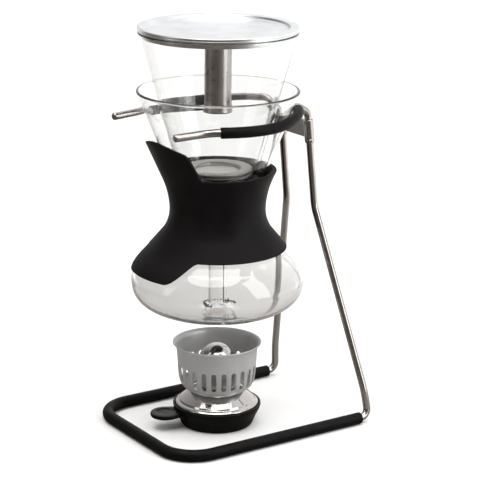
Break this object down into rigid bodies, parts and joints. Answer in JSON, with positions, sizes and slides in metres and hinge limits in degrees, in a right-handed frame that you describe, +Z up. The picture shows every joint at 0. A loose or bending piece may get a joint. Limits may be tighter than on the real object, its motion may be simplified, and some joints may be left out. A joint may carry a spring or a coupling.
{
  "type": "vacuum coffee brewer",
  "caption": "Table-top glass vacuum (syphon) coffee brewer: carafe and funnel in a bent-rod stand over a spirit burner, with lid, filter and grip band.",
  "frame": {"origin": "on the table, under the carafe's axis, at the middle of the burner's flat foot", "axes": "+Z up; -Y is the front, where the fork's tips point; the stand's legs are at +Y; the stand is symmetric about X = 0"},
  "size_m": [0.1684, 0.2174, 0.3808],
  "materials": {
    "rod_steel": "polished rod",
    "satin_steel": "satin",
    "polished_steel": "polished",
    "aluminium": "satin anodised",
    "black_rubber": "matte",
    "silicone": "soft matte",
    "black_plastic": "semi-gloss",
    "glass": "clear heat-resistant glass",
    "gasket_rubber": "matte",
    "filter_paper": "unbleached white, matte",
    "cotton": "braided cotton"
  },
  "bodies": {
    "stand": {"stand_rod": "rod_steel", "base_sleeve": "black_rubber", "bracket_plate": "satin_steel", "collar_left": "rod_steel", "collar_right": "rod_steel", "arm_rod_left": "rod_steel", "arm_rod_right": "rod_steel", "arm_sleeve_left": "black_rubber", "arm_sleeve_right": "black_rubber"},
    "carafe": {"carafe_glass": "glass", "grip_band": "silicone"},
    "funnel": {"funnel_glass": "glass", "neck_gasket": "gasket_rubber", "pull_wire": "rod_steel", "boil_chain": "rod_steel"},
    "filter": {"filter_ring": "satin_steel", "filter_paper": "filter_paper", "filter_plate": "satin_steel", "filter_spring": "rod_steel"},
    "lid": {"lid_plate": "satin_steel", "lid_tube": "satin_steel"},
    "lamp": {"lamp_base": "black_plastic", "lamp_body": "polished_steel", "wick_holder": "satin_steel", "wick": "cotton"},
    "guard": {"wind_guard": "aluminium"},
    "cap": {"snuffer_cap": "polished_steel"}
  },
  "joints": [
    {"name": "carafe_lift", "type": "slide", "parent": "stand", "child": "carafe", "axis": [0, 0, 1], "range_m": [0, 0.085]},
    {"name": "funnel_lift", "type": "slide", "parent": "carafe", "child": "funnel", "axis": [0, 0, 1], "range_m": [0, 0.21]},
    {"name": "filter_lift", "type": "slide", "parent": "funnel", "child": "filter", "axis": [0, 0, 1], "range_m": [0, 0.008], "stiffness_N_per_m": 180, "springref_m": -0.012, "deforming": ["filter_spring"]},
    {"name": "lid_lift", "type": "slide", "parent": "funnel", "child": "lid", "axis": [0, 0, 1], "range_m": [0, 0.085]},
    {"name": "lamp_slide", "type": "slide", "parent": "stand", "child": "lamp", "axis": [0, 1, 0], "range_m": [-0.012, 0.2]},
    {"name": "guard_lift", "type": "slide", "parent": "lamp", "child": "guard", "axis": [0, 0, 1], "range_m": [0, 0.02]},
    {"name": "cap_lift", "type": "slide", "parent": "lamp", "child": "cap", "axis": [0, 0, 1], "range_m": [0, 0.02]}
  ]
}
